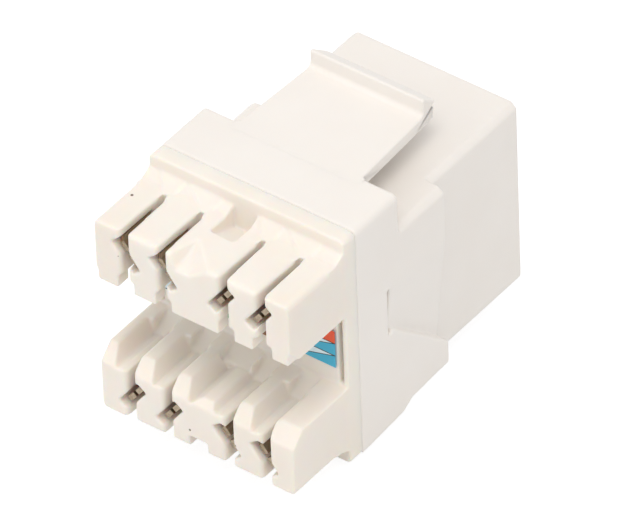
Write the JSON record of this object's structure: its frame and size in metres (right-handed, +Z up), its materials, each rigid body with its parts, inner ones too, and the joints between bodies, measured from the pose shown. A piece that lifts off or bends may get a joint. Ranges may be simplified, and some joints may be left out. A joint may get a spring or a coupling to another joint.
{
  "type": "keystone jack",
  "caption": "Snap-in RJ45 outlet module with a plug port, a springy snap tongue, a fixed catch and two rows of punch-down wire slits.",
  "frame": {"origin": "centre of the base of the bounding box: under the middle of the jack, at the level of the fixed catch's underside", "axes": "+Y out of the plug port, +Z up on the snap tongue's side, +X to the right seen from the wire side"},
  "size_m": [0.0172, 0.0288, 0.0226],
  "materials": {
    "white_housing": "fine satin moulded plastic, cool white",
    "cream_block": "fine satin moulded plastic, warm cream",
    "green_board": "green solder mask over glass fibre laminate",
    "dark_carrier": "black moulded plastic",
    "gold_contact": "gold-plated phosphor bronze",
    "tinned_contact": "tin-plated phosphor bronze",
    "printed_label": "printed label with orange, blue and white fields"
  },
  "bodies": {
    "main": {"jack_housing": "white_housing", "idc_block": "cream_block", "circuit_board": "green_board", "contact_carrier": "dark_carrier", "spring_contact_1": "gold_contact", "spring_contact_2": "gold_contact", "spring_contact_3": "gold_contact", "spring_contact_4": "gold_contact", "spring_contact_5": "gold_contact", "spring_contact_6": "gold_contact", "spring_contact_7": "gold_contact", "spring_contact_8": "gold_contact", "idc_terminal_1": "tinned_contact", "idc_terminal_2": "tinned_contact", "idc_terminal_3": "tinned_contact", "idc_terminal_4": "tinned_contact", "idc_terminal_5": "tinned_contact", "idc_terminal_6": "tinned_contact", "idc_terminal_7": "tinned_contact", "idc_terminal_8": "tinned_contact", "wiring_label": "printed_label"},
    "latch": {"latch_tongue": "white_housing"}
  },
  "joints": [
    {"name": "latch_flex", "type": "hinge", "parent": "main", "child": "latch", "pos_m": [0, -0.00147, 0.0207], "axis": [1, 0, 0], "range_deg": [-10.5, 0], "stiffness_Nm_per_rad": 0.4}
  ]
}
